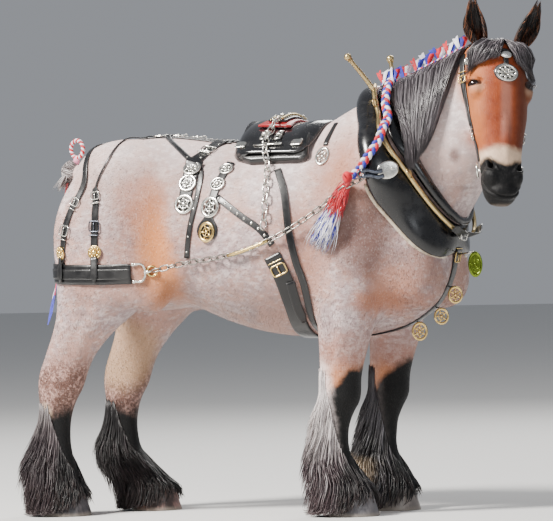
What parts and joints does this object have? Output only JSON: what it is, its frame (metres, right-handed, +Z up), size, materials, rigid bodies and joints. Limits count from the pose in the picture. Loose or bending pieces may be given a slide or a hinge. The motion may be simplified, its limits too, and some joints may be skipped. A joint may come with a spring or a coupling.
{
  "type": "ardennes horse in show harness",
  "caption": "Life-size still model of a roan Ardennes draught horse standing square with its head turned, in a show cart harness",
  "frame": {"origin": "on the floor, under the middle of the box round the whole horse", "axes": "the horse faces +X, its right side is at -Y, +Z is up"},
  "size_m": [2.1692, 0.807, 1.9379],
  "materials": {
    "coat": "short roan hair with long black hair on mane and legs",
    "eye": "wet and glossy",
    "horn": "hoof horn, satin",
    "black_leather": "polished harness leather",
    "red_leather": "red lining leather with metal edges",
    "brass": "polished pale brass",
    "steel": "worn steel links",
    "ribbon": "woven ribbon, wool cord"
  },
  "bodies": {
    "root": {"torso": "coat", "neck": "coat", "head": "coat", "tail": "coat", "ear_right": "coat", "ear_left": "coat", "foreleg_right": "coat", "foreleg_left": "coat", "hindleg_right": "coat", "hindleg_left": "coat", "eye_right": "eye", "eye_left": "eye", "hoof_front_right": "horn", "hoof_front_left": "horn", "hoof_hind_right": "horn", "hoof_hind_left": "horn", "collar_body": "black_leather", "collar_rim": "black_leather", "saddle_panel": "black_leather", "saddle_skirt": "black_leather", "back_strap": "black_leather", "quarter_strap": "black_leather", "loin_strap": "black_leather", "breeching": "black_leather", "hip_strap_front": "black_leather", "hip_strap_rear": "black_leather", "girth": "black_leather", "belly_band": "black_leather", "breast_strap": "black_leather", "diagonal_strap_right": "black_leather", "diagonal_strap_left": "black_leather", "bridle_crown": "black_leather", "bridle_cheek_right": "black_leather", "bridle_cheek_left": "black_leather", "saddle_bridge": "red_leather", "hame_right": "brass", "hame_left": "brass", "rear_brasses_right": "brass", "rear_brasses_left": "brass", "front_brasses_right": "brass", "front_brasses_left": "brass", "saddle_pendant_right": "brass", "saddle_pendant_left": "brass", "face_brass": "brass", "trace_chain_right": "steel", "trace_chain_left": "steel", "ridge_chain": "steel", "breeching_fork_right": "steel", "breeching_fork_left": "steel", "bit_ring_right": "steel", "bit_ring_left": "steel", "crest_flights": "ribbon", "braid": "ribbon", "braid_tassel": "ribbon", "tail_ring": "ribbon", "tail_ribbon": "ribbon"}
  },
  "joints": []
}
